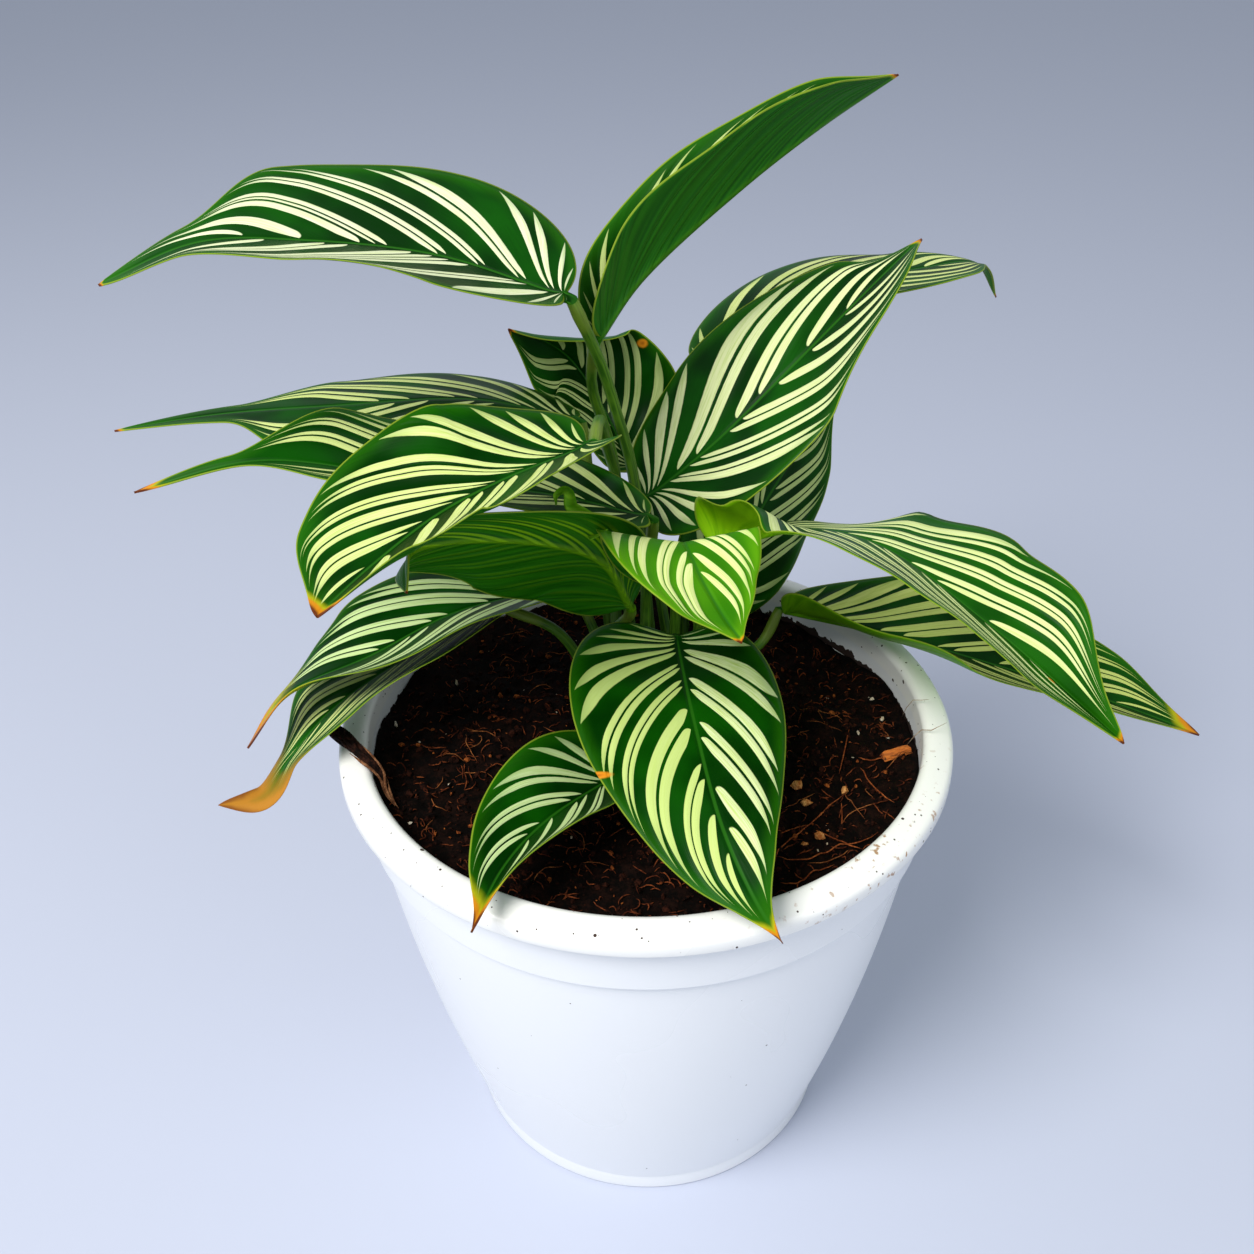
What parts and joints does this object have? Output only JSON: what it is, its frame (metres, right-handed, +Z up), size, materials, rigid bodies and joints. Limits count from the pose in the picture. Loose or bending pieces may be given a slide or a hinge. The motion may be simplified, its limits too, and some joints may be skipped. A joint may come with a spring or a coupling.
{
  "type": "potted plant",
  "caption": "Prayer plant with long green leaves striped in cream, growing in dark soil in a round white plastic flower pot with a wide rolled rim.",
  "frame": {"origin": "centre of the pot's flat underside", "axes": "+Z up out of the pot's mouth, -Y towards the front, where the heart-shaped leaf hangs over the rim"},
  "size_m": [0.3833, 0.2457, 0.3645],
  "materials": {
    "pot_plastic": "glossy",
    "peat": "matte",
    "leaf": "satin",
    "fibre": "matte",
    "bark": "matte"
  },
  "bodies": {
    "root": {"pot": "pot_plastic", "soil": "peat", "leaf_01": "leaf", "leaf_02": "leaf", "leaf_03": "leaf", "leaf_04": "leaf", "leaf_05": "leaf", "leaf_06": "leaf", "leaf_07": "leaf", "leaf_08": "leaf", "leaf_09": "leaf", "leaf_10": "leaf", "leaf_11": "leaf", "leaf_12": "leaf", "leaf_13": "leaf", "leaf_14": "leaf", "leaf_15": "leaf", "leaf_16": "leaf", "leaf_17": "leaf", "fibre_bundle": "fibre", "bark_chip": "bark"}
  },
  "joints": []
}
